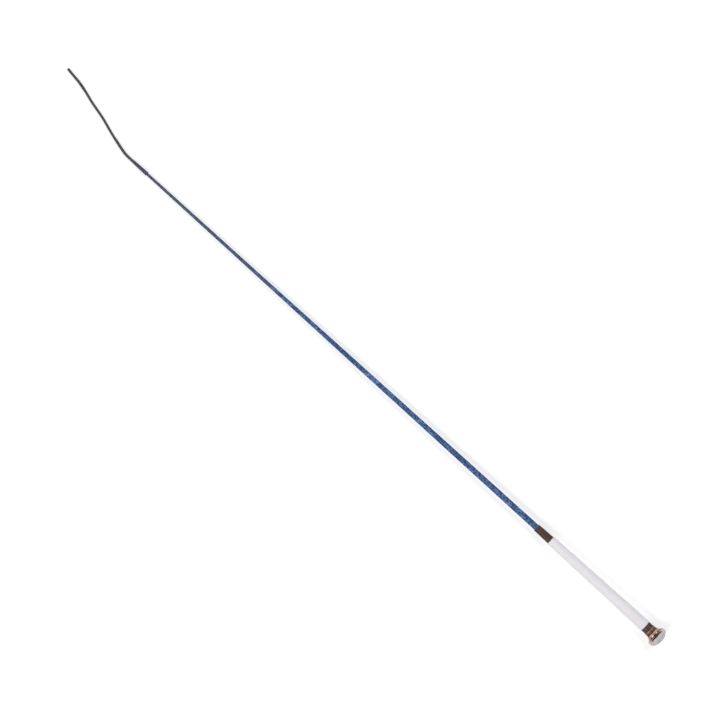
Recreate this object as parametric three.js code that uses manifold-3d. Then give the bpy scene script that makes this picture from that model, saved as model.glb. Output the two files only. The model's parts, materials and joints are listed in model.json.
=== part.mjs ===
// Dressage riding whip, 1.1 m long, lying on a flat surface on its cap and its tip binding.
// Units are millimetres and +Z is up. Every piece is turned about the rod's own axis, from the dome's
// apex at 0 towards the tip. The whip is then tilted, so that cap and binding both touch z = 0,
// and the lash lies on the surface in front of the binding.

import * as THREE from 'three';
import { mergeVertices } from 'three/addons/utils/BufferGeometryUtils.js';
import Module from 'manifold-3d';

const wasm = await Module();
wasm.setup();

// Driving dimensions along the axis
const FERRULE_START = 9.5;
const REAR_COLLAR_START = 23;
const GRIP_START = 30;
const GRIP_END = 199.7;
const FRONT_COLLAR_END = 224.9;
const BINDING_START = 925.8;
const BINDING_END = 951.3;

// Driving radii
const DOME_R = 14.5;
const BELL_R = 14.25;
const BEAD_R = 10.5;
const RING_R = 9.25;
const BAND_R = 7.8;
const BINDING_BACK_R = 2.8;
const BINDING_FRONT_R = 2.25;
const LASH_R = 1.8;

// Clearances between neighbours
const FIT = 0.1;
const FACE_GAP = 0.3;

// Wall thicknesses
const BRAID_WALL = 0.5;
const LEATHER_WALL = 0.9;
const PADDING_WALL = 0.5;

const SIDES = 24;
const CORD_SIDES = 8;
const LASH_STEPS = 40;

// Shaft radius over its braid at stations along the axis
const SHAFT_STATIONS = [
	[202.4, 4.38],
	[240, 4.36],
	[300, 4.16],
	[350, 4.05],
	[450, 3.68],
	[550, 3.3],
	[650, 2.88],
	[750, 2.44],
	[820, 2.27],
	[900, 2.03],
	[929.5, 1.9],
];

// Grip radius over its leather at stations along the axis
const GRIP_STATIONS = [
	[GRIP_START, 8.65],
	[48, 8.5],
	[64, 8.35],
	[80, 8.1],
	[100, 7.85],
	[120, 7.65],
	[140, 7.45],
	[160, 7.25],
	[181, 6.95],
	[GRIP_END, 6.9],
];

// Lash route: distance in front of the binding's mouth, sideways offset, height over the surface
const LASH_ROUTE = [
	[8, 0, 2.38],
	[14, -0.35, 2.2],
	[19.5, -1.4, 2.1],
	[25, -2.75, 2.05],
	[33.5, -4.95, 2],
	[42.5, -7.35, 1.85],
	[51.5, -10.1, 1.8],
	[60.5, -13, 1.8],
	[69.5, -15.75, 1.8],
	[79, -18.1, 1.8],
	[88, -20.1, 1.8],
	[97.5, -22.65, 1.8],
	[106.5, -25.4, 1.8],
	[116, -28, 1.95],
	[125, -29.9, 1.95],
	[135, -31.3, 1.8],
	[143.4, -32.5, 1.8],
];
const LASH_END_LENGTH = 4.5;

const materials = {
	glassFibre: { color: 0xc9c6b4, roughness: 0.5, metalness: 0 },
	blueBraid: { color: 0x3f5b8c, roughness: 0.35, metalness: 0 },
	innerThread: { color: 0x30384f, roughness: 0.8, metalness: 0 },
	formerPlastic: { color: 0x55504c, roughness: 0.7, metalness: 0 },
	foam: { color: 0xd8d2c4, roughness: 0.95, metalness: 0 },
	whiteLeather: { color: 0xe6e3e8, roughness: 0.5, metalness: 0 },
	brownLeather: { color: 0x4b3a38, roughness: 0.5, metalness: 0 },
	bushPlastic: { color: 0x3a3734, roughness: 0.6, metalness: 0 },
	roseGold: { color: 0xb98f7c, roughness: 0.22, metalness: 1 },
	pearl: { color: 0xcfc6cb, roughness: 0.4, metalness: 0 },
	bindingThread: { color: 0x2d2830, roughness: 0.7, metalness: 0 },
	lashCord: { color: 0x2e2b31, roughness: 0.8, metalness: 0 },
};

// Straight-line reading of a list of [position, value] stations
function at(stations, x) {
	const next = stations.findIndex(([position]) => position >= x);
	if (next <= 0) return stations[Math.max(next, 0)][1];
	const [x0, v0] = stations[next - 1];
	const [x1, v1] = stations[next];
	return v0 + ((v1 - v0) * (x - x0)) / (x1 - x0);
}

// The stations between two positions, with both ends added and every radius changed by offset
function stretch(stations, from, to, offset) {
	const inside = stations.filter(([x]) => x > from && x < to);
	const all = [[from, at(stations, from)], ...inside, [to, at(stations, to)]];
	return all.map(([x, r]) => [x, r + offset]);
}

// A solid of revolution about +X from [position, radius] points, with a flat side facing down
function turned(points) {
	const flatToCorner = 1 / Math.cos(Math.PI / SIDES);
	const profile = points.map(([x, r]) => new THREE.Vector2(r * flatToCorner, x));
	const solid = new THREE.LatheGeometry(profile, SIDES, Math.PI / SIDES);
	return solid.rotateZ(-Math.PI / 2);
}

// A tube between an outer and an inner line, both from rear to front
function tube(outer, inner) {
	return turned([...outer, ...inner.toReversed(), outer[0]]);
}

function asManifold(geometry) {
	const bare = geometry.clone();
	bare.deleteAttribute('normal');
	bare.deleteAttribute('uv');
	const merged = mergeVertices(bare, 1e-3);
	return new wasm.Manifold(
		new wasm.Mesh({
			numProp: 3,
			vertProperties: new Float32Array(merged.attributes.position.array),
			triVerts: new Uint32Array(merged.index.array),
		})
	);
}

function joined(first, second) {
	const { vertProperties, triVerts } = asManifold(first).add(asManifold(second)).getMesh();
	const geometry = new THREE.BufferGeometry();
	geometry.setAttribute('position', new THREE.BufferAttribute(vertProperties, 3));
	geometry.setIndex(new THREE.BufferAttribute(triVerts, 1));
	return geometry;
}

function ellipseArc(centreX, radiusX, radiusR, fromDegrees, toDegrees, steps) {
	const points = [];
	for (let i = 0; i <= steps; i += 1) {
		const angle = THREE.MathUtils.degToRad(fromDegrees + ((toDegrees - fromDegrees) * i) / steps);
		points.push([centreX - radiusX * Math.cos(angle), radiusR * Math.sin(angle)]);
	}
	return points;
}

// Rod, braid and what ties them

const ROD_START = 17;
const ROD_POINT = 944.5;
const BRAID_START = 202.4;
const BRAID_END = 929.5;
const ROD_HANDLE_R = 3.75;

function coreRod() {
	const inset = -BRAID_WALL - FIT;
	const pointR = 0.35;
	return turned([
		[ROD_START, 0],
		[ROD_START, ROD_HANDLE_R],
		...stretch(SHAFT_STATIONS, BRAID_START, BRAID_END, inset),
		[ROD_POINT, pointR],
		[ROD_POINT, 0],
	]);
}

function shaftBraid() {
	return tube(
		stretch(SHAFT_STATIONS, BRAID_START, BRAID_END, 0),
		stretch(SHAFT_STATIONS, BRAID_START, BRAID_END, -BRAID_WALL)
	);
}

function braidWhipping() {
	const start = BRAID_START + 1;
	const end = FRONT_COLLAR_END - 12;
	return tube(
		[[start, 4.9], [end, 4.7]],
		stretch(SHAFT_STATIONS, start, end, FIT)
	);
}

// Grip

const FORMER_INSET = LEATHER_WALL + PADDING_WALL + 2 * FIT;
const FORMER_BORE_R = ROD_HANDLE_R + FIT;

function gripFormer() {
	const start = REAR_COLLAR_START + FACE_GAP;
	const end = GRIP_END - FACE_GAP;
	const underCollarR = BAND_R - LEATHER_WALL - FIT;
	return tube(
		[
			[start, underCollarR],
			[GRIP_START - FACE_GAP, underCollarR],
			...stretch(GRIP_STATIONS, GRIP_START, end, -FORMER_INSET),
		],
		[[start, FORMER_BORE_R], [end, FORMER_BORE_R]]
	);
}

function gripPadding() {
	const outer = stretch(GRIP_STATIONS, GRIP_START, GRIP_END - FACE_GAP, -LEATHER_WALL - FIT);
	return tube(outer, outer.map(([x, r]) => [x, r - PADDING_WALL]));
}

function gripCover() {
	const outer = stretch(GRIP_STATIONS, GRIP_START, GRIP_END, 0);
	return tube(outer, outer.map(([x, r]) => [x, r - LEATHER_WALL]));
}

function rearCollar() {
	const start = REAR_COLLAR_START + FACE_GAP / 2;
	const end = GRIP_START - FACE_GAP;
	return tube(
		[[start, BAND_R - 0.3], [start + 0.5, BAND_R], [end, BAND_R]],
		[[start, BAND_R - LEATHER_WALL], [end, BAND_R - LEATHER_WALL]]
	);
}

function frontCollar() {
	const start = GRIP_END + FACE_GAP;
	const rearR = 5.72;
	const frontR = 5.2;
	const edge = 0.35;
	const wall = 0.55;
	return tube(
		[[start, rearR], [FRONT_COLLAR_END - edge, frontR], [FRONT_COLLAR_END, frontR - edge]],
		[[start, rearR - wall], [FRONT_COLLAR_END, frontR - wall]]
	);
}

// Cap

const DOME_BAND_START = 8.3;
const DOME_BAND_END = 9.2;
const SPIGOT_R = 4;
const SPIGOT_END = 16;
const FERRULE_BORE_R = 7.2;
const FERRULE_BORE_START = 12;

// The bell under the dome, a bead, a ring, a shallow groove and a second ring, from rear to front
function capFerrule() {
	const end = REAR_COLLAR_START - FACE_GAP / 2;
	return tube(
		[
			[FERRULE_START, BELL_R - 0.2],
			[9.8, BELL_R],
			[11, BELL_R - 0.25],
			[12, BELL_R - 1],
			[12.6, BELL_R - 2.2],
			[12.9, BEAD_R],
			[14.6, BEAD_R],
			[15.2, RING_R],
			[16.9, RING_R],
			[17.4, RING_R - 0.85],
			[20.1, RING_R - 1.2],
			[20.6, RING_R - 0.95],
			[end - 0.5, RING_R - 1.15],
			[end, RING_R - 1.4],
		],
		[
			[FERRULE_START, SPIGOT_R + FIT],
			[FERRULE_BORE_START, SPIGOT_R + FIT],
			[FERRULE_BORE_START, FERRULE_BORE_R],
			[end, FERRULE_BORE_R],
		]
	);
}

function capDome() {
	const backX = FERRULE_START - FIT;
	return turned([
		...ellipseArc(DOME_BAND_START, DOME_BAND_START, DOME_R, 0, 90, 12),
		[DOME_BAND_END, DOME_R],
		[backX, DOME_R - 0.3],
		[backX, SPIGOT_R],
		[SPIGOT_END - 0.4, SPIGOT_R],
		[SPIGOT_END, SPIGOT_R - 0.4],
		[SPIGOT_END, 0],
	]);
}

function capBush() {
	const start = FERRULE_BORE_START + FIT;
	const shoulder = SPIGOT_END + FIT;
	const end = REAR_COLLAR_START;
	return tube(
		[[start, FERRULE_BORE_R - FIT], [end, FERRULE_BORE_R - FIT]],
		[
			[start, SPIGOT_R + FIT],
			[shoulder, SPIGOT_R + FIT],
			[shoulder, ROD_HANDLE_R + FIT],
			[end, ROD_HANDLE_R + FIT],
		]
	);
}

// Tip

const BINDING_WALL = 0.35;
const BINDING_STEP = 0.5;
const LASH_ROOT_START = BINDING_START + 4.2;

function lashRoot() {
	const end = BINDING_END - FIT;
	const pocketR = at(SHAFT_STATIONS, BRAID_END) - BRAID_WALL + 0.05;
	return turned([
		[ROD_POINT + FACE_GAP, 0],
		[ROD_POINT + FACE_GAP, 0.5],
		[LASH_ROOT_START, pocketR],
		[LASH_ROOT_START, BINDING_BACK_R - BINDING_WALL - 0.3],
		[end, BINDING_FRONT_R - BINDING_WALL - FIT],
		[end, 0],
	]);
}

function tipBinding() {
	const shaftR = at(SHAFT_STATIONS, BRAID_END) + FIT;
	return tube(
		[
			[BINDING_START, BINDING_BACK_R - 0.35],
			[BINDING_START + BINDING_STEP, BINDING_BACK_R],
			[BINDING_END - BINDING_STEP, BINDING_FRONT_R],
			[BINDING_END, BINDING_FRONT_R - 0.2],
		],
		[
			[BINDING_START, shaftR],
			[LASH_ROOT_START - FIT, shaftR],
			[LASH_ROOT_START, BINDING_BACK_R - BINDING_WALL - 0.2],
			[BINDING_END, BINDING_FRONT_R - BINDING_WALL],
		]
	);
}

// The cord's first stretch, which stays in line with the rod. The lash bends in front of it.
function lashNeck() {
	const [hingeForward] = LASH_ROUTE[0];
	const start = BINDING_END - FIT + FACE_GAP;
	const end = BINDING_END + hingeForward - LASH_R - FACE_GAP;
	return turned([
		[start, 0],
		[start, LASH_R],
		[end, LASH_R],
		[end, 0],
	]);
}

// Lash, in its own place: the hinge is its origin, and it lies level on the surface

function lashPoint([forward, sideways, height]) {
	const [hingeForward, , hingeHeight] = LASH_ROUTE[0];
	return new THREE.Vector3(forward - hingeForward, sideways, height - hingeHeight);
}

const lashCurve = new THREE.CatmullRomCurve3(LASH_ROUTE.map(lashPoint), false, 'centripetal');

function lash() {
	const section = new THREE.Shape();
	for (let i = 0; i < CORD_SIDES; i += 1) {
		const angle = ((i + 0.5) / CORD_SIDES) * 2 * Math.PI;
		const corner = [LASH_R * Math.cos(angle), LASH_R * Math.sin(angle)];
		if (i === 0) section.moveTo(...corner);
		else section.lineTo(...corner);
	}
	section.closePath();
	const cord = new THREE.ExtrudeGeometry(section, { steps: LASH_STEPS, extrudePath: lashCurve });
	const roundedStart = new THREE.SphereGeometry(LASH_R, 16, 10);
	return joined(cord, roundedStart);
}

function lashEnd() {
	return turned([
		[0, 0],
		[0, LASH_R - 0.05],
		[LASH_END_LENGTH - 1.2, LASH_R - 0.05],
		[LASH_END_LENGTH - 0.3, LASH_R - 0.6],
		[LASH_END_LENGTH, 0],
	]);
}

// Assembly

function mesh(name, geometry, material) {
	const piece = new THREE.Mesh(geometry, new THREE.MeshStandardMaterial(material));
	piece.name = name;
	return piece;
}

const whip = new THREE.Group();
whip.add(
	mesh('core_rod', coreRod(), materials.glassFibre),
	mesh('shaft_braid', shaftBraid(), materials.blueBraid),
	mesh('braid_whipping', braidWhipping(), materials.innerThread),
	mesh('grip_former', gripFormer(), materials.formerPlastic),
	mesh('grip_padding', gripPadding(), materials.foam),
	mesh('grip_cover', gripCover(), materials.whiteLeather),
	mesh('rear_collar', rearCollar(), materials.brownLeather),
	mesh('front_collar', frontCollar(), materials.brownLeather),
	mesh('cap_ferrule', capFerrule(), materials.roseGold),
	mesh('cap_dome', capDome(), materials.pearl),
	mesh('cap_bush', capBush(), materials.bushPlastic),
	mesh('lash_root', lashRoot(), materials.lashCord),
	mesh('tip_binding', tipBinding(), materials.bindingThread)
);

// Cap and binding both touch the surface
const contactX = BINDING_START + BINDING_STEP;
const tilt = Math.atan((DOME_R - BINDING_BACK_R) / (contactX - DOME_BAND_END));
whip.rotation.y = tilt;
whip.position.z = DOME_BAND_END * Math.sin(tilt) + DOME_R * Math.cos(tilt);

const lashGroup = new THREE.Group();
const [hingeForward, , hingeHeight] = LASH_ROUTE[0];
lashGroup.position.set((BINDING_END + hingeForward) * Math.cos(tilt), 0, hingeHeight);
const endPiece = mesh('lash_end', lashEnd(), materials.lashCord);
const endDirection = lashCurve.getTangent(1);
endPiece.position.copy(lashCurve.getPoint(1)).addScaledVector(endDirection, FACE_GAP);
endPiece.rotation.z = Math.atan2(endDirection.y, endDirection.x);
lashGroup.add(mesh('lash', lash(), materials.lashCord), endPiece);

// The origin is under the middle of the rigid part, without any of the cord
const ridingWhip = new THREE.Group();
ridingWhip.add(whip, lashGroup);
const rigidBox = new THREE.Box3().setFromObject(whip, true);
ridingWhip.position.x = -rigidBox.getCenter(new THREE.Vector3()).x;
whip.add(mesh('lash_neck', lashNeck(), materials.lashCord));

export default ridingWhip;
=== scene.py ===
"""A dressage riding whip lying on a pale floor. Lengths are in metres and +Z is up.

Rigid pieces are built in the whip's own axes, where x runs along the rod from the dome's apex to the
tip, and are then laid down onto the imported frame. Turned shapes take their radii from the frame.
"""
import json
import math
import random

import bpy
from mathutils import Matrix, Vector, noise


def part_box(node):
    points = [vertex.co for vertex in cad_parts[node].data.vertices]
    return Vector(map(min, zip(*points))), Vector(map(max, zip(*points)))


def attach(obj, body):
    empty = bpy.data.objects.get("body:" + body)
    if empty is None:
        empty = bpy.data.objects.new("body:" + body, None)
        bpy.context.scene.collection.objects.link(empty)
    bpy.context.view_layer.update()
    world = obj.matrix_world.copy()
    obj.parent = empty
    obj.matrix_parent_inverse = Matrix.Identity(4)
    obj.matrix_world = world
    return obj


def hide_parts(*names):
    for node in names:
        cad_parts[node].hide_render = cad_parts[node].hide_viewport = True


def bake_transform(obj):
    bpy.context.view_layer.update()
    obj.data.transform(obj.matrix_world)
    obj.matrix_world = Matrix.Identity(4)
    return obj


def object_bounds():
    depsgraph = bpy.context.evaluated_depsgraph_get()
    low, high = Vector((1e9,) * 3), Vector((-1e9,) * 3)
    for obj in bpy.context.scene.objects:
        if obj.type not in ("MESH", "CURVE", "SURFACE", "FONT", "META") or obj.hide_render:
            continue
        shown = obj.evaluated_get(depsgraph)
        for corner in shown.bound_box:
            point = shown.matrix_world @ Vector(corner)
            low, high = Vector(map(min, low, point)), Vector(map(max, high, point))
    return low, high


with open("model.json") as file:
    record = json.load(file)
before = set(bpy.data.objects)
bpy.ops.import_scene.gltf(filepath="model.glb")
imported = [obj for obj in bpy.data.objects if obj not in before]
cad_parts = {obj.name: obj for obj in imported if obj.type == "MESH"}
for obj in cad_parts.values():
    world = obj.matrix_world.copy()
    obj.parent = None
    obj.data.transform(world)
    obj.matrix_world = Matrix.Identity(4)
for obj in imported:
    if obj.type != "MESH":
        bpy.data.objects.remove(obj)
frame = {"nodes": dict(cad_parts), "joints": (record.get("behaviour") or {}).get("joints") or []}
cad_low, cad_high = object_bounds()

MM = 0.001
TAU = 2 * math.pi
CAD_SIDES = 24  # the turned CAD solids' sides, whose flats are at the real radius

# ---------------------------------------------------------------- the whip's own axes

DOME_BAND_START = 8.3 * MM
DOME_BAND_END = 9.2 * MM  # where the dome's widest band ends, and touches the floor
BINDING_STEP = 0.5 * MM  # from the binding's rear face to its widest place, which touches too

dome_low, dome_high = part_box("cap_dome")
binding_low, binding_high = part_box("tip_binding")
DOME_R = (dome_high.y - dome_low.y) / 2
BINDING_R = (binding_high.y - binding_low.y) / 2
CONTACT_GAP = binding_low.x - dome_low.x + BINDING_STEP - DOME_BAND_END
TILT = math.asin((DOME_R - BINDING_R) / CONTACT_GAP)
APEX_HEIGHT = DOME_BAND_END * math.sin(TILT) + DOME_R * math.cos(TILT)
LAID = Matrix.Translation((dome_low.x, 0, APEX_HEIGHT)) @ Matrix.Rotation(TILT, 4, "Y")
UPRIGHT = LAID.inverted()


def outline(node):
    """The outer line of a turned CAD node as sorted (distance along the axis, radius) pairs."""
    flat = math.cos(math.pi / CAD_SIDES)
    widest = {}
    for vertex in frame["nodes"][node].data.vertices:
        point = UPRIGHT @ vertex.co
        x = round(point.x, 5)
        widest[x] = max(widest.get(x, 0), math.hypot(point.y, point.z) * flat)
    return sorted(widest.items())


def smooth_radius(stations):
    """A function that runs a smooth curve through (x, radius) stations."""
    slopes = []
    for i in range(len(stations)):
        before, after = stations[max(i - 1, 0)], stations[min(i + 1, len(stations) - 1)]
        slopes.append((after[1] - before[1]) / (after[0] - before[0]))

    def radius(x):
        x = min(max(x, stations[0][0]), stations[-1][0])
        i = max(k for k in range(len(stations) - 1) if stations[k][0] <= x or k == 0)
        (x0, r0), (x1, r1) = stations[i], stations[i + 1]
        width = x1 - x0
        t = (x - x0) / width
        hermite = (2 * t**3 - 3 * t**2 + 1) * r0 + (3 * t**2 - 2 * t**3) * r1
        return hermite + ((t**3 - 2 * t**2 + t) * slopes[i] + (t**3 - t**2) * slopes[i + 1]) * width

    return radius


# ---------------------------------------------------------------- mesh helpers


def piece(name, vertices, faces, material, body="whip", marks=None, matrix=LAID):
    """A smooth-shaded mesh piece. marks holds named values, one for each vertex, for the material."""
    mesh = bpy.data.meshes.new(name)
    mesh.from_pydata([tuple(matrix @ Vector(v)) for v in vertices], [], faces)
    mesh.polygons.foreach_set("use_smooth", [True] * len(mesh.polygons))
    for mark, values in (marks or {}).items():
        mesh.attributes.new(mark, "FLOAT", "POINT").data.foreach_set("value", values)
    mesh.materials.append(material)
    mesh.validate()
    made = bpy.data.objects.new(name, mesh)
    bpy.context.scene.collection.objects.link(made)
    if body:
        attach(made, body)
    return made


def around(x, radius, angle):
    """A point at an angle round the rod, counted from the top towards +Y."""
    return (x, radius * math.sin(angle), radius * math.cos(angle))


def ring_faces(rings, columns, wrap_rings=False):
    """Quads between rings of points, which face away from the axis when rings run towards +x."""
    faces = []
    for i in range(rings if wrap_rings else rings - 1):
        j = (i + 1) % rings
        for k in range(columns):
            m = (k + 1) % columns
            faces.append((i * columns + k, i * columns + m, j * columns + m, j * columns + k))
    return faces


def rounded(corners, steps=6):
    """A line through (x, radius, rounding) corners, with each corner rounded off by that much."""
    line = []
    for i, (x, r, rounding) in enumerate(corners):
        here = Vector((x, r))
        if rounding == 0 or i in (0, len(corners) - 1):
            line.append(here)
            continue
        before, after = Vector(corners[i - 1][:2]), Vector(corners[i + 1][:2])
        back = min(rounding, (before - here).length * 0.49)
        ahead = min(rounding, (after - here).length * 0.49)
        start = here + (before - here).normalized() * back
        end = here + (after - here).normalized() * ahead
        for step in range(steps + 1):
            t = step / steps
            line.append(start.lerp(here, t).lerp(here.lerp(end, t), t))
    return [(p.x, p.y) for p in line]


def turn(line, columns, shift=None, closed=True):
    """Vertices and faces of a line of (x, radius) turned about the rod.

    A closed line makes a ring-shaped solid, and an open one starts and ends on the axis.
    shift(x, radius, angle) says how far a point moves outwards.
    """
    vertices = []
    for x, r in line:
        for k in range(columns):
            angle = TAU * k / columns
            out = shift(x, r, angle) if shift else 0
            vertices.append(around(x, r + out, angle))
    faces = ring_faces(len(line), columns, wrap_rings=closed)
    if not closed:
        first, last = len(vertices), len(vertices) + 1
        vertices += [(line[0][0], 0, 0), (line[-1][0], 0, 0)]
        top = (len(line) - 1) * columns
        for k in range(columns):
            m = (k + 1) % columns
            faces.append((first, m, k))
            faces.append((last, top + k, top + m))
    return vertices, faces


def resampled(start, end, step):
    """Evenly spaced places from start to end, about a step apart."""
    count = max(2, round((end - start) / step))
    return [start + (end - start) * i / count for i in range(count + 1)]


# ---------------------------------------------------------------- braids

STRAND_COLUMNS = 4  # the weave's columns in the width of one strand


class Straight:
    """The rod's own axis as a braid's path."""

    def point(self, distance, radius, angle):
        return around(distance, radius, angle)


class Along:
    """A path along points, with its side direction kept level."""

    def __init__(self, points):
        self.points = points
        self.distances = [0.0]
        for a, b in zip(points, points[1:]):
            self.distances.append(self.distances[-1] + (b - a).length)
        self.length = self.distances[-1]

    def place(self, distance):
        """The point at a distance along the path, and the direction there."""
        i = 0
        while i < len(self.points) - 2 and self.distances[i + 1] < distance:
            i += 1
        span = self.distances[i + 1] - self.distances[i]
        t = (distance - self.distances[i]) / span
        before = self.points[max(i - 1, 0)]
        after = self.points[min(i + 2, len(self.points) - 1)]
        start = (self.points[i + 1] - before).normalized()
        end = (after - self.points[i]).normalized()
        return self.points[i].lerp(self.points[i + 1], t), start.lerp(end, t).normalized()

    def point(self, distance, radius, angle):
        centre, ahead = self.place(distance)
        side = Vector((0, 0, 1)).cross(ahead).normalized()
        up = ahead.cross(side)
        return tuple(centre + side * radius * math.sin(angle) + up * radius * math.cos(angle))


def braid(path, start, end, radius, pitch, strands, relief, float_over, seed):
    """The woven surface of a tubular braid, as vertices, faces, marks and its rows' distances.

    strands is their number each way, and float_over how many of them each one passes over at a time.
    The mesh follows the strands: its diamonds are one STRAND_COLUMNS-th of a strand wide. Marks: crown
    is the height from groove to crown, rim the distance from a strand's middle line, and tone a value
    of each strand's own.
    """
    round_share, weave_share = 0.6, 0.4
    columns = strands * STRAND_COLUMNS
    chance = random.Random(seed)
    tones = [[chance.random() for _ in range(strands)] for _ in range(2)]

    def wave(t):
        return math.cos(math.pi * (t - (float_over - 1) / 2) / float_over)

    def bulge(across):
        return math.sqrt(max(0, 1 - (2 * across) ** 2))

    vertices, crown, rim, tone = [], [], [], []
    distances = [start]
    while distances[-1] < end:
        distances.append(distances[-1] + pitch(distances[-1]) / (2 * columns))
    distances[-1] = end
    for k, distance in enumerate(distances):
        for m in range(columns):
            right, left = m / STRAND_COLUMNS, (m + k) / STRAND_COLUMNS
            i, j = math.floor(right + 0.5), math.floor(left + 0.5)
            right_height = round_share * bulge(right - i) + weave_share * wave(left + i)
            left_height = round_share * bulge(left - j) - weave_share * wave(right + j)
            highest = max(right_height, left_height)
            height = (highest + weave_share) / (round_share + 2 * weave_share)
            top = right_height >= left_height
            angle = math.pi * (2 * m + k) / columns
            depth = relief(distance) * (1 - height)
            vertices.append(path.point(distance, radius(distance) - depth, angle))
            crown.append(height)
            rim.append(abs(2 * (right - i if top else left - j)))
            tone.append(tones[0][i % strands] if top else tones[1][j % strands])
    faces = []
    rows = len(distances)
    for k in range(1, rows - 1):
        for m in range(columns):
            faces.append((
                k * columns + m,
                (k - 1) * columns + (m + 1) % columns,
                k * columns + (m + 1) % columns,
                (k + 1) * columns + m,
            ))
    last_row = (rows - 1) * columns
    for m in range(columns):
        after = (m + 1) % columns
        faces.append((m, after, columns + m))
        faces.append((last_row + m, last_row - columns + after, last_row + after))
    return vertices, faces, {"crown": crown, "rim": rim, "tone": tone}, distances


# ---------------------------------------------------------------- materials


class Look:
    """A procedural material that is built up node by node around one Principled shader."""

    def __init__(self, name, **constants):
        self.material = bpy.data.materials.new(name)
        self.material.use_nodes = True
        self.tree = self.material.node_tree
        self.shader = self.tree.nodes["Principled BSDF"]
        for socket, value in constants.items():
            self.shader.inputs[socket.replace("_", " ")].default_value = value
        self.place = self.add("ShaderNodeTexCoord").outputs["Object"]

    def add(self, kind, settings=None, **inputs):
        """A node with its settings, and its inputs either linked or set."""
        made = self.tree.nodes.new(kind)
        for setting, value in (settings or {}).items():
            setattr(made, setting, value)
        for socket, value in inputs.items():
            self.feed(made.inputs[socket.replace("_", " ")], value)
        return made

    def feed(self, socket, value):
        if isinstance(value, bpy.types.NodeSocket):
            self.tree.links.new(value, socket)
        else:
            socket.default_value = value

    def noise(self, scale, detail=3, roughness=0.5, stretch=(1, 1, 1)):
        """Noise from 0 to 1, with features about 1 / scale metres across."""
        mapped = self.add("ShaderNodeMapping", Vector=self.place, Scale=stretch)
        made = self.add("ShaderNodeTexNoise", Vector=mapped.outputs[0], Scale=scale, Detail=detail,
                        Roughness=roughness)
        return made.outputs["Fac"]

    def cells(self, scale):
        """The distance to the nearest edge between cells that are about 1 / scale metres across."""
        made = self.add("ShaderNodeTexVoronoi", {"feature": "DISTANCE_TO_EDGE"}, Vector=self.place,
                        Scale=scale)
        return made.outputs["Distance"]

    def mark(self, name):
        """A value that the mesh holds for each vertex."""
        return self.add("ShaderNodeAttribute", {"attribute_name": name}).outputs["Fac"]

    def ranged(self, value, low, high, to_low=0.0, to_high=1.0):
        made = self.add("ShaderNodeMapRange", Value=value)
        made.inputs["From Min"].default_value = low
        made.inputs["From Max"].default_value = high
        made.inputs["To Min"].default_value = to_low
        made.inputs["To Max"].default_value = to_high
        return made.outputs["Result"]

    def sum(self, first, second, operation="ADD"):
        made = self.add("ShaderNodeMath", {"operation": operation})
        self.feed(made.inputs[0], first)
        self.feed(made.inputs[1], second)
        return made.outputs[0]

    def sine(self, value):
        made = self.add("ShaderNodeMath", {"operation": "SINE"})
        self.feed(made.inputs[0], value)
        return made.outputs[0]

    def mix(self, amount, first, second):
        made = self.add("ShaderNodeMix", {"data_type": "RGBA"})
        self.feed(made.inputs["Factor"], amount)
        self.feed(made.inputs["A"], first)
        self.feed(made.inputs["B"], second)
        return made.outputs["Result"]

    def bump(self, height, depth, strength, under=None):
        """A bump of that depth in metres, on top of another one if given."""
        made = self.add("ShaderNodeBump", Height=height, Strength=strength, Distance=depth)
        if under is not None:
            self.feed(made.inputs["Normal"], under)
        return made.outputs["Normal"]

    def finish(self, color, roughness, normal):
        self.feed(self.shader.inputs["Base Color"], color)
        self.feed(self.shader.inputs["Roughness"], roughness)
        self.feed(self.shader.inputs["Normal"], normal)
        return self.material


def srgb(red, green, blue):
    """A colour given in 0 to 255 display values."""

    def linear(value):
        share = value / 255
        return ((share + 0.055) / 1.055) ** 2.4 if value > 10 else share / 12.92

    return (linear(red), linear(green), linear(blue), 1)


def lacquered_braid():
    """Blue braid under clear lacquer, with painted highlights in pale blue patches, painted shade in the
    grooves between strands, and charcoal towards the tip.
    """
    look = Look("lacquered_blue_braid", Specular_IOR_Level=0.22)
    crown, rim = look.mark("crown"), look.mark("rim")
    blue = look.mix(look.mark("tone"), srgb(25, 58, 108), srgb(57, 92, 147))
    # Pale blue patches that noise spreads over the strands are painted highlights
    patches = look.ranged(look.noise(320, detail=2), 0.46, 0.6)
    stretches = look.ranged(look.noise(60, detail=1), 0.4, 0.6, 0.35, 1.0)
    wear_and_painted_highlights = look.mix(look.sum(patches, stretches, "MULTIPLY"), blue, srgb(104, 137, 185))
    charcoal = look.mix(look.mark("tone"), srgb(64, 67, 86), srgb(110, 114, 140))
    strands = look.mix(look.mark("tipward"), wear_and_painted_highlights, charcoal)
    # The grooves between the strands go to near-black navy: painted shade
    color = look.mix(look.ranged(crown, 0.1, 0.75), srgb(7, 12, 24), strands)
    filaments = look.sine(look.sum(rim, 16.0, "MULTIPLY"))
    threads = look.bump(filaments, 0.03 * MM, 0.5)
    bumps = look.bump(look.noise(2500), 0.03 * MM, 0.3, threads)
    return look.finish(color, look.ranged(look.noise(600), 0.3, 0.7, 0.34, 0.52), bumps)


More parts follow.
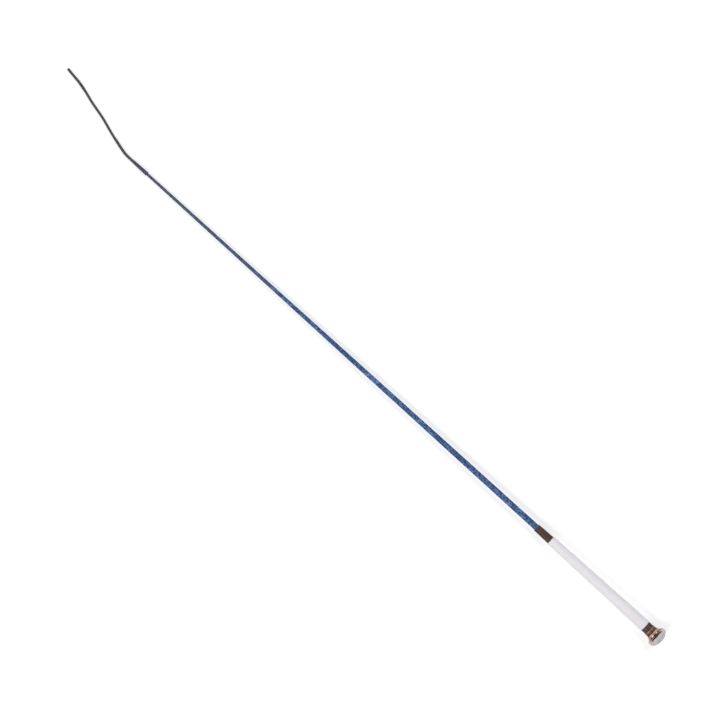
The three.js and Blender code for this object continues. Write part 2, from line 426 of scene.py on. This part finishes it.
def leather(name, tone, shade, worn_tone, roughness, grain_size):
    """Smooth leather with fine creases, uneven colour and edges in a worn tone."""
    look = Look(name, Specular_IOR_Level=0.35)
    patches = look.ranged(look.noise(70, detail=4), 0.3, 0.72)
    fine = look.ranged(look.noise(900, detail=2), 0.3, 0.7, 0, 0.5)
    color = look.mix(look.sum(patches, fine, "MULTIPLY"), tone, shade)
    creases = look.ranged(look.cells(1 / grain_size), 0, 0.12)
    creased = look.mix(look.ranged(creases, 0, 1, 0.35, 0), color, shade)
    wear = look.sum(look.mark("wear"), look.ranged(look.noise(1200), 0.3, 0.65), "MULTIPLY")
    wear_and_painted_highlights = look.mix(wear, creased, worn_tone)
    grain = look.bump(creases, 0.05 * MM, 0.5)
    bumps = look.bump(look.noise(260, detail=4), 0.12 * MM, 0.5, grain)
    uneven = look.ranged(look.noise(300), 0.3, 0.7, roughness, roughness + 0.16)
    return look.finish(wear_and_painted_highlights, uneven, bumps)


def rose_gold():
    """Plated metal, satin on the rings and polished on the bell and the bead.

    Its colour is darker in the groove and on the second ring, a painted darker reflection, and in the
    recess behind the bell, painted shade and dark reflection.
    """
    look = Look("rose_gold_plate", Metallic=1.0)
    tarnish = look.ranged(look.noise(160, detail=4), 0.35, 0.75)
    satin = look.mix(tarnish, srgb(190, 165, 150), srgb(172, 146, 132))
    # Darker in the groove and on the second ring: a painted darker reflection
    painted_groove_reflection = look.mix(look.mark("groove"), satin, srgb(96, 72, 58))
    plated = look.mix(look.mark("polish"), painted_groove_reflection, srgb(198, 174, 168))
    # The recess behind the bell is darkened: painted shade and dark reflection
    color = look.mix(look.mark("painted_recess_shade"), plated, srgb(96, 72, 62))
    turning = look.noise(7000, detail=2, stretch=(1, 0.02, 0.02))
    bumps = look.bump(turning, 0.004 * MM, 0.4)
    uneven = look.ranged(look.noise(500), 0.3, 0.7, 0.52, 0.6)
    smoother = look.sum(look.mark("polish"), 0.42, "MULTIPLY")
    return look.finish(color, look.sum(uneven, smoother, "SUBTRACT"), bumps)


def pearl():
    """Satin pearl plastic with soft clouds of colour."""
    look = Look("satin_pearl", Coat_Weight=0.2, Coat_Roughness=0.4, Subsurface_Weight=0.08,
                Subsurface_Scale=0.002)
    swirl = look.ranged(look.noise(170, detail=5, roughness=0.6), 0.32, 0.68)
    clouds = look.mix(swirl, srgb(212, 202, 203), srgb(184, 174, 176))
    warm = look.mix(look.ranged(look.noise(240), 0.45, 0.75), clouds, srgb(220, 212, 209))
    bumps = look.bump(look.noise(700), 0.02 * MM, 0.4)
    return look.finish(warm, look.ranged(look.noise(400), 0.3, 0.7, 0.42, 0.55), bumps)


def thread(name, tone, shade, roughness):
    """Twisted thread: fine fibres, with a soft sheen."""
    look = Look(name, Sheen_Weight=0.25, Sheen_Roughness=0.4, Specular_IOR_Level=0.3)
    fibres = look.noise(6000, detail=2)
    color = look.mix(look.ranged(look.noise(500), 0.3, 0.7), tone, shade)
    bumps = look.bump(fibres, 0.03 * MM, 0.6)
    return look.finish(color, look.ranged(fibres, 0.3, 0.7, roughness, roughness + 0.15), bumps)


def cord():
    """The lash's charcoal braid, with filaments along each strand and painted shade in the grooves
    between strands.
    """
    look = Look("charcoal_cord", Sheen_Weight=0.3, Sheen_Roughness=0.5, Specular_IOR_Level=0.3)
    strand = look.mix(look.mark("tone"), srgb(64, 61, 70), srgb(90, 86, 98))
    # The grooves between the strands go to near-black: painted shade
    color = look.mix(look.ranged(look.mark("crown"), 0.1, 0.8), srgb(26, 25, 31), strand)
    filaments = look.sine(look.sum(look.mark("rim"), 14.0, "MULTIPLY"))
    threads = look.bump(filaments, 0.03 * MM, 0.6)
    bumps = look.bump(look.noise(5000), 0.03 * MM, 0.5, threads)
    return look.finish(color, look.ranged(look.noise(900), 0.3, 0.7, 0.6, 0.8), bumps)


def plain_inside(name, tone, shade, roughness, scale):
    """A moulded or cut material inside the whip, slightly uneven in colour and surface."""
    look = Look(name)
    patches = look.noise(scale)
    bumps = look.bump(look.noise(scale * 6), 0.05 * MM, 0.4)
    color = look.mix(look.ranged(patches, 0.3, 0.7), tone, shade)
    return look.finish(color, look.ranged(patches, 0.3, 0.7, roughness, roughness + 0.1), bumps)


BRAID = lacquered_braid()
WHITE_LEATHER = leather("white_leather", srgb(236, 232, 237), srgb(224, 220, 226), srgb(212, 206, 203),
                        roughness=0.48, grain_size=1.1 * MM)
BROWN_LEATHER = leather("brown_leather", srgb(84, 51, 48), srgb(24, 11, 13), srgb(88, 60, 54),
                        roughness=0.34, grain_size=0.9 * MM)
FRONT_LEATHER = leather("dark_brown_leather", srgb(76, 43, 42), srgb(18, 8, 10), srgb(84, 56, 52),
                        roughness=0.4, grain_size=0.9 * MM)
ROSE_GOLD = rose_gold()
PEARL = pearl()
BINDING = thread("waxed_binding_thread", srgb(106, 101, 126), srgb(42, 40, 60), roughness=0.5)
STITCH = thread("white_stitching", srgb(236, 232, 228), srgb(214, 208, 204), roughness=0.6)
CORD = cord()

# ---------------------------------------------------------------- the rod and its braid

shaft_line = outline("shaft_braid")
BRAID_START, BRAID_END = shaft_line[0][0], shaft_line[-1][0]
shaft_radius = smooth_radius(shaft_line)
BRAID_THICKNESS = 0.5 * MM
STRANDS_EACH_WAY = 8
BASE_PITCH, PITCH_PER_RADIUS = 14 * MM, 4
BASE_RELIEF, RELIEF_PER_RADIUS = 0.04 * MM, 0.05
DARKENING_START, DARKENING_LENGTH = 620 * MM, 300 * MM


def shaft_pitch(x):
    """How far one strand runs along the rod in a full turn: shorter where the rod is thin."""
    return BASE_PITCH + PITCH_PER_RADIUS * shaft_radius(x)


def shaft_relief(x):
    """How deep the grooves between the strands are."""
    return RELIEF_PER_RADIUS * shaft_radius(x) + BASE_RELIEF


def shaft_braid():
    vertices, faces, marks, rows = braid(
        Straight(), BRAID_START, BRAID_END, shaft_radius, shaft_pitch, STRANDS_EACH_WAY,
        shaft_relief, float_over=2, seed=7)
    columns = STRANDS_EACH_WAY * STRAND_COLUMNS
    darker = [min(max((x - DARKENING_START) / DARKENING_LENGTH, 0), 1) for x in rows]
    marks["tipward"] = [value for value in darker for _ in range(columns)]
    inner_start = len(vertices)
    stations = [BRAID_END, *[x for x, _ in reversed(shaft_line[1:-1])], BRAID_START]
    for x in stations:
        for m in range(columns):
            # The last row of the weave is turned by half a column for each row before it
            angle = math.pi * (2 * m + (len(rows) - 1 if x == BRAID_END else 0)) / columns
            vertices.append(around(x, shaft_radius(x) - BRAID_THICKNESS, angle))
    for mark in marks.values():
        mark += [0.0] * (len(stations) * columns)
    last_row = (len(rows) - 1) * columns
    loops = [last_row] + [inner_start + i * columns for i in range(len(stations))] + [0]
    for a, b in zip(loops, loops[1:]):
        for m in range(columns):
            n = (m + 1) % columns
            faces.append((a + m, a + n, b + n, b + m))
    made = piece("shaft_braid_woven", vertices, faces, BRAID, marks=marks)
    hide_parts("shaft_braid")


# ---------------------------------------------------------------- leather grip and bands

SEAM_ANGLE = math.pi  # the seams run along the underside
SEAM_HALF_WIDTH = 0.45 * MM
WORN_EDGE_WIDTH, EDGE_WEAR = 0.9 * MM, 0.7
WAVES, FINE_WAVES = 90, 420  # unevenness of the leather, in features per metre
SLEEVE_COLUMNS = 96
STITCH_MARGIN = 3 * MM


def seam_distance(radius, angle):
    """How far round the surface a point is from the seam."""
    return abs((angle - SEAM_ANGLE + math.pi) % TAU - math.pi) * radius


def sleeve(name, node, material, wall, edge, seam_depth, step, unevenness):
    """A leather sleeve or band over a turned CAD node, with rolled edges and a butted seam below."""
    line = outline(node)
    start, end = line[0][0], line[-1][0]
    radius = smooth_radius(line)
    outer = [(x, radius(x)) for x in resampled(start + edge, end - edge, step)]
    corners = rounded([(start, radius(start) - wall / 2, 0), (start, radius(start), edge),
                       (start + edge, radius(start + edge), 0)])
    far_corners = rounded([(end - edge, radius(end - edge), 0), (end, radius(end), edge),
                           (end, radius(end) - wall / 2, 0)])
    inner = [(x, radius(x) - wall) for x in resampled(end, start, step * 6)]
    section = corners[:-1] + outer + far_corners[1:] + inner

    def shift(x, r, angle):
        inside = r < radius(x) - wall * 0.75
        if inside:
            return 0
        groove = -seam_depth * math.exp(-((seam_distance(r, angle) / SEAM_HALF_WIDTH) ** 2))
        place = Vector(around(x, r, angle))
        waves = unevenness * (noise.noise(place * WAVES) - 0.6)
        return groove + waves + unevenness * 0.5 * noise.noise(place * FINE_WAVES)

    vertices, faces = turn(section, SLEEVE_COLUMNS, shift)
    wear = []
    for x, _ in section:
        near_edge = max(0, 1 - min(x - start, end - x) / WORN_EDGE_WIDTH)
        wear += [near_edge**2 * EDGE_WEAR] * SLEEVE_COLUMNS
    made = piece(name, vertices, faces, material, marks={"wear": wear})
    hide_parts(node)
    return radius, start, end


def stitches(name, radius, start, end, spacing, slant, material):
    """Short stitches across the seam, each one a small arch of thread that dips in at both ends."""
    thread_r, half_width, sides, steps = 0.24 * MM, 1.1 * MM, 8, 10
    lift, dip = 0.12 * MM, 0.6 * MM
    vertices, faces = [], []
    x = start
    while x < end:
        ring_start = len(vertices)
        for i in range(steps + 1):
            t = i / steps * 2 - 1
            surface = radius(x) + lift - dip * t**6
            angle = SEAM_ANGLE + t * half_width / radius(x)
            centre = Vector(around(x + slant * t, surface, angle))
            outward = Vector(around(0, 1, angle))
            across = Vector(around(0, 1, angle + math.pi / 2))
            ahead = (across * half_width + Vector((slant, 0, 0))).normalized()
            side = ahead.cross(outward)
            for k in range(sides):
                turned = TAU * k / sides
                out = side * math.cos(turned) + outward * math.sin(turned)
                vertices.append(centre + out * thread_r)
        faces += [tuple(v + ring_start for v in face) for face in ring_faces(steps + 1, sides)]
        faces.append(tuple(ring_start + k for k in range(sides)))
        faces.append(tuple(ring_start + steps * sides + k for k in reversed(range(sides))))
        x += spacing
    piece(name, vertices, faces, material)


def grip():
    radius, start, end = sleeve(
        "grip_leather", "grip_cover", WHITE_LEATHER,
        wall=0.9 * MM, edge=0.8 * MM, seam_depth=0.35 * MM, step=1.0 * MM, unevenness=0.09 * MM)
    stitches("grip_stitches", radius, start + STITCH_MARGIN, end - STITCH_MARGIN, spacing=4 * MM,
             slant=0.8 * MM, material=STITCH)


def bands():
    sleeve("front_band", "front_collar", FRONT_LEATHER,
           wall=0.55 * MM, edge=0.35 * MM, seam_depth=0.2 * MM, step=0.5 * MM, unevenness=0.07 * MM)
    sleeve("rear_band", "rear_collar", BROWN_LEATHER,
           wall=0.9 * MM, edge=0.4 * MM, seam_depth=0.25 * MM, step=0.4 * MM, unevenness=0.07 * MM)


# ---------------------------------------------------------------- cap

CAP_COLUMNS = 128


def dome():
    """The pearl dome, a flattened half-ball with a rounded edge, and its spigot."""
    back = 9.4 * MM
    spigot_r, spigot_end = 4 * MM, 16 * MM
    steps = 30
    line = []
    for i in range(1, steps + 1):
        angle = math.pi / 2 * i / steps
        line.append((DOME_BAND_START * (1 - math.cos(angle)), DOME_R * math.sin(angle)))
    line += rounded([(DOME_BAND_END - 0.5 * MM, DOME_R, 0), (back, DOME_R, 0.35 * MM),
                     (back, DOME_R - 1.5 * MM, 0)])[1:]
    line += rounded([(back, spigot_r + 1 * MM, 0), (back, spigot_r, 0),
                     (spigot_end, spigot_r, 0.5 * MM), (spigot_end, 0.5 * MM, 0)])
    vertices, faces = turn(line, CAP_COLUMNS, closed=False)
    made = piece("cap_dome_pearl", vertices, faces, PEARL)
    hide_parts("cap_dome")


def ferrule():
    """The turned ferrule: a bell under the dome, a bead, a ring, a shallow groove and a second ring."""
    bell, bead, ring, start = 14.25 * MM, 10.5 * MM, 9.25 * MM, 9.5 * MM
    end = outline("cap_ferrule")[-1][0]
    bore_start, bore, spigot_hole = 12 * MM, 7.2 * MM, 4.1 * MM
    polish_end = 14 * MM
    # The recess behind the bell gets painted shade and dark reflection in the metal's colour
    recess_start, recess_end, recess_painted_shade = 11.7 * MM, 12.99 * MM, 0.75
    # The groove and the second ring get a painted darker reflection in the metal's colour
    groove_start, groove_end, second_ring_painted_reflection = 17.1 * MM, 20.4 * MM, 0.65
    outside = rounded([
        (start, bell - 0.8 * MM, 0),
        (start, bell, 0.1 * MM),
        (11.6 * MM, bell - 0.8 * MM, 1.2 * MM),
        (12.8 * MM, bell - 2.4 * MM, 0.8 * MM),
        (12.85 * MM, bead - 1.2 * MM, 0.3 * MM),
        (12.95 * MM, bead - 1.2 * MM, 0.1 * MM),
        (13.0 * MM, bead, 0.88 * MM),
        (14.8 * MM, bead, 0.9 * MM),
        (15.1 * MM, ring, 0.3 * MM),
        (16.9 * MM, ring, 0.6 * MM),
        (17.4 * MM, ring - 0.95 * MM, 0.4 * MM),
        (20.2 * MM, ring - 1.2 * MM, 0.4 * MM),
        (20.6 * MM, ring - 0.95 * MM, 0.3 * MM),
        (end, ring - 1.15 * MM, 0.5 * MM),
        (end, bore + 0.3 * MM, 0),
    ])
    inside = [(end, bore), (bore_start, bore), (bore_start, spigot_hole), (start, spigot_hole)]
    line = outside + inside
    vertices, faces = turn(line, CAP_COLUMNS)
    marks = {"groove": [], "polish": [], "painted_recess_shade": []}
    for x, _ in line:
        groove = 1.0 if groove_start < x < groove_end else 0.0
        if x > groove_end:
            groove = second_ring_painted_reflection
        marks["polish"] += [1.0 if x < polish_end else 0.0] * CAP_COLUMNS
        marks["painted_recess_shade"] += [recess_painted_shade if recess_start < x < recess_end else 0.0] * CAP_COLUMNS
        marks["groove"] += [groove] * CAP_COLUMNS
    made = piece("cap_ferrule_metal", vertices, faces, ROSE_GOLD, marks=marks)
    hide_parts("cap_ferrule")


# ---------------------------------------------------------------- tip binding and lash

binding_line = outline("tip_binding")
BINDING_START, MOUTH = binding_line[0][0], binding_line[-1][0]
BINDING_BACK_R, BINDING_FRONT_R = 2.8 * MM, 2.25 * MM
THREAD_R = 0.19 * MM
LASH_R = 1.8 * MM
THICK_LASH_R, SWOLLEN_LASH_R = 2.0 * MM, 1.95 * MM
LASH_STRANDS = 4
LASH_PITCH, LASH_RELIEF = 13 * MM, 0.2 * MM
HINGE = Vector(frame["joints"][0]["pos_m"])


def binding_radius(x):
    """The wound cone's radius over its thread."""
    t = (x - BINDING_START) / (MOUTH - BINDING_START)
    return BINDING_BACK_R + (BINDING_FRONT_R - BINDING_BACK_R) * t


def binding():
    """One thread wound turn against turn over a smooth cone."""
    turns = (MOUTH - BINDING_START - 2 * THREAD_R) / (2 * THREAD_R)
    per_turn, sides = 28, 6
    base_columns = 32
    steps = round(turns * per_turn)
    vertices = []
    for i in range(steps + 1):
        x = BINDING_START + THREAD_R + 2 * THREAD_R * i / per_turn
        angle = TAU * i / per_turn
        uneven = 0.03 * MM * noise.noise(Vector((x * 900, 0, 0)))
        for k in range(sides):
            turned = TAU * k / sides
            out = binding_radius(x) - THREAD_R + THREAD_R * math.sin(turned) - abs(uneven)
            vertices.append(around(x + THREAD_R * math.cos(turned), out, angle))
    faces = ring_faces(steps + 1, sides)
    faces.append(tuple(range(sides)))
    faces.append(tuple(steps * sides + k for k in reversed(range(sides))))
    made = piece("tip_binding_thread", vertices, faces, BINDING)
    start, end, root = BINDING_START + 0.2 * MM, MOUTH - 0.1 * MM, BINDING_START + 4.2 * MM
    mouth_hole, root_hole, rod_hole = 1.9 * MM, 2.25 * MM, 2.0 * MM
    core = [(x, binding_radius(x) - 1.3 * THREAD_R) for x in resampled(start, end, 2 * MM)]
    hole = [(end, mouth_hole), (root, root_hole), (root - 0.1 * MM, rod_hole), (start, rod_hole)]
    vertices, faces = turn(core + hole, base_columns)
    piece("tip_binding_base", vertices, faces, BINDING)
    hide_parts("tip_binding")


# The lash's route: distance in front of the binding's mouth, sideways offset, height over the floor
LASH_ROUTE = [
    (0.008, 0, 0.00238),
    (0.014, -0.00035, 0.0022),
    (0.0195, -0.0014, 0.0021),
    (0.025, -0.00275, 0.00205),
    (0.0335, -0.00495, 0.002),
    (0.0425, -0.00735, 0.00185),
    (0.0515, -0.0101, 0.0018),
    (0.0605, -0.013, 0.0018),
    (0.0695, -0.01575, 0.0018),
    (0.079, -0.0181, 0.0018),
    (0.088, -0.0201, 0.0018),
    (0.0975, -0.02265, 0.0018),
    (0.1065, -0.0254, 0.0018),
    (0.116, -0.028, 0.00195),
    (0.125, -0.0299, 0.00195),
    (0.135, -0.0313, 0.0018),
    (0.1434, -0.0325, 0.0018),
]

# The lash's thickness is uneven: (distance from the mouth, radius), up to well beyond its end
lash_radius = smooth_radius([
    (0, THICK_LASH_R),
    (34 * MM, THICK_LASH_R),
    (44 * MM, LASH_R),
    (110 * MM, LASH_R),
    (119 * MM, SWOLLEN_LASH_R),
    (129 * MM, SWOLLEN_LASH_R),
    (139 * MM, LASH_R),
    (1, LASH_R),
])


def through(points, per_span):
    """Points along a smooth curve through the given ones."""
    made = []
    for i in range(len(points) - 1):
        before, a = points[max(i - 1, 0)], points[i]
        b, after = points[i + 1], points[min(i + 2, len(points) - 1)]
        for step in range(per_span):
            t = step / per_span
            made.append(0.5 * (2 * a + (b - before) * t + (2 * before - 5 * a + 4 * b - after) * t**2
                               + (3 * a - before - 3 * b + after) * t**3))
    return made + [points[-1]]


def lash():
    """The cord in front of the binding, a braid of LASH_STRANDS strands each way with a fused end."""
    mouth = LAID @ Vector((MOUTH, 0, 0))
    first_forward = LASH_ROUTE[0][0]
    route = [mouth] + [Vector((HINGE.x + x - first_forward, y, z)) for x, y, z in LASH_ROUTE]
    fused_length = 4.5 * MM
    last_direction = (route[-1] - route[-2]).normalized()
    route.append(route[-1] + last_direction * fused_length)
    path = Along(through(route, per_span=12))
    melted_length = 2.2 * MM
    woven_end = path.length - melted_length

    vertices, faces, marks, rows = braid(
        path, 0, woven_end, lash_radius, lambda s: LASH_PITCH, LASH_STRANDS, lambda s: LASH_RELIEF,
        float_over=2, seed=3)
    columns = LASH_STRANDS * STRAND_COLUMNS
    for row in (0, len(rows) - 1):
        centre = path.place(rows[row])[0]
        vertices.append(tuple(centre))
        hub = len(vertices) - 1
        for mark in marks.values():
            mark.append(0.0)
        for m in range(columns):
            n = (m + 1) % columns
            corners = (row * columns + m, row * columns + n, hub)
            faces.append(corners[::-1] if row == 0 else corners)
    centres = [tuple(path.place(distance)[0]) for distance in rows]
    made = piece("lash_cord", vertices, faces, CORD, body=None, marks=marks,
                 matrix=Matrix.Identity(4))

    sides, lumps, overlap = 24, 0.08 * MM, 0.3 * MM
    end_line = [
        (woven_end - overlap, LASH_R - 0.09 * MM),
        (woven_end + 0.5 * MM, LASH_R - 0.03 * MM),
        (woven_end + 1.3 * MM, LASH_R - 0.2 * MM),
        (woven_end + 1.9 * MM, LASH_R - 0.6 * MM),
        (woven_end + 2.15 * MM, 0.4 * MM),
    ]
    end_vertices = []
    for s, r in end_line:
        for a in range(sides):
            lump = lumps * noise.noise(Vector((s * 900, a, 1.7)))
            end_vertices.append(path.point(s, r + lump, TAU * a / sides))
    end_faces = ring_faces(len(end_line), sides)
    last_ring = (len(end_line) - 1) * sides
    first_hub, last_hub = len(end_vertices), len(end_vertices) + 1
    end_vertices += [
        path.point(woven_end - overlap, 0, 0),
        path.point(woven_end + melted_length, 0, 0),
    ]
    for k in range(sides):
        m = (k + 1) % sides
        end_faces.append((first_hub, m, k))
        end_faces.append((last_hub, last_ring + k, last_ring + m))
    melted = plain_inside("fused_cord_end", srgb(56, 53, 61), srgb(36, 34, 41), 0.35, 900)
    end = piece("lash_fused_end", end_vertices, end_faces, melted, body="lash",
                matrix=Matrix.Identity(4))
    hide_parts("lash_end")

    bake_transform(made)
    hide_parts("lash", "lash_neck")
    length = sum((Vector(b) - Vector(a)).length for a, b in zip(centres, centres[1:]))


# ---------------------------------------------------------------- pieces inside, as packed


def inside_pieces():
    """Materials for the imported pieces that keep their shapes."""
    looks = {
        "core_rod": plain_inside("glass_fibre_rod", srgb(208, 204, 186), srgb(190, 184, 164), 0.35, 400),
        "braid_whipping": thread("inner_whipping", srgb(62, 72, 100), srgb(44, 50, 74), 0.7),
        "grip_former": plain_inside("moulded_former", srgb(90, 84, 80), srgb(76, 70, 66), 0.55, 300),
        "grip_padding": plain_inside("grip_foam", srgb(222, 216, 204), srgb(206, 198, 186), 0.85,
                                     1500),
        "cap_bush": plain_inside("moulded_bush", srgb(62, 58, 55), srgb(48, 45, 43), 0.5, 300),
        "lash_root": thread("opened_cord_end", srgb(52, 49, 56), srgb(34, 32, 38), 0.65),
    }
    for node, material in looks.items():
        materials = frame["nodes"][node].data.materials
        materials.clear()
        materials.append(material)


# ---------------------------------------------------------------- floor, light and camera


def floor():
    """A plain pale floor that also gives off some light of its own."""
    reach = 25
    vertices = [(-reach, -reach, 0), (reach, -reach, 0), (reach, reach, 0), (-reach, reach, 0)]
    mesh = bpy.data.meshes.new("floor")
    mesh.from_pydata(vertices, [], [(0, 1, 2, 3)])
    look = Look("pale_floor", Specular_IOR_Level=0.1, Emission_Color=(1, 1, 1, 1),
                Emission_Strength=0.55)
    color = look.mix(look.ranged(look.noise(3), 0.3, 0.7), srgb(204, 204, 204), srgb(208, 208, 207))
    mesh.materials.append(look.finish(color, 0.9, look.bump(look.noise(800), 0.02 * MM, 0.1)))
    made = bpy.data.objects.new("floor", mesh)
    bpy.context.scene.collection.objects.link(made)


def softbox(name, place, watts, color):
    """A broad area light that faces the middle of the floor."""
    light = bpy.data.lights.new(name, "AREA")
    light.shape = "RECTANGLE"
    light.size, light.size_y = 2.6, 1.7
    light.energy = watts
    light.color = color
    made = bpy.data.objects.new(name, light)
    made.location = place
    floor_middle = Vector((0, 0, 0))
    made.rotation_euler = (floor_middle - Vector(place)).to_track_quat("-Z", "Y").to_euler()
    bpy.context.scene.collection.objects.link(made)


def lights():
    """A broad softbox on each side of the whip, half-way up, and a dim studio around."""
    softbox("key", (0, 2.4, 2.9), watts=98, color=(1.0, 0.99, 0.98))
    softbox("fill", (0, -2.4, 2.9), watts=80, color=(0.98, 0.99, 1.0))
    world = bpy.data.worlds.new("studio")
    world.use_nodes = True
    background = world.node_tree.nodes["Background"]
    background.inputs["Color"].default_value = (0.96, 0.97, 1.0, 1)
    background.inputs["Strength"].default_value = 0.1
    bpy.context.scene.world = world
    bpy.context.scene.view_settings.view_transform = "Standard"


def camera():
    """Straight above the whip, turned so that it lies along the picture's diagonal."""
    distance, field_width, sensor_width = 5.0, 0.96, 36
    middle_x, middle_y, middle_height = cad_low.x + 0.5489, -0.0072, 0.006
    right, up = Vector((-0.7406, -0.6720, 0)), Vector((0.6720, -0.7406, 0))
    data = bpy.data.cameras.new("camera")
    data.sensor_width = sensor_width
    data.lens = sensor_width * distance / field_width
    made = bpy.data.objects.new("camera", data)
    turned = Matrix((right, up, right.cross(up))).transposed().to_4x4()
    place = Matrix.Translation((middle_x, middle_y, distance + middle_height))
    made.matrix_world = place @ turned
    bpy.context.scene.collection.objects.link(made)
    bpy.context.scene.camera = made


camera()
lash()
shaft_braid()
grip()
bands()
dome()
ferrule()
binding()
inside_pieces()
floor()
lights()
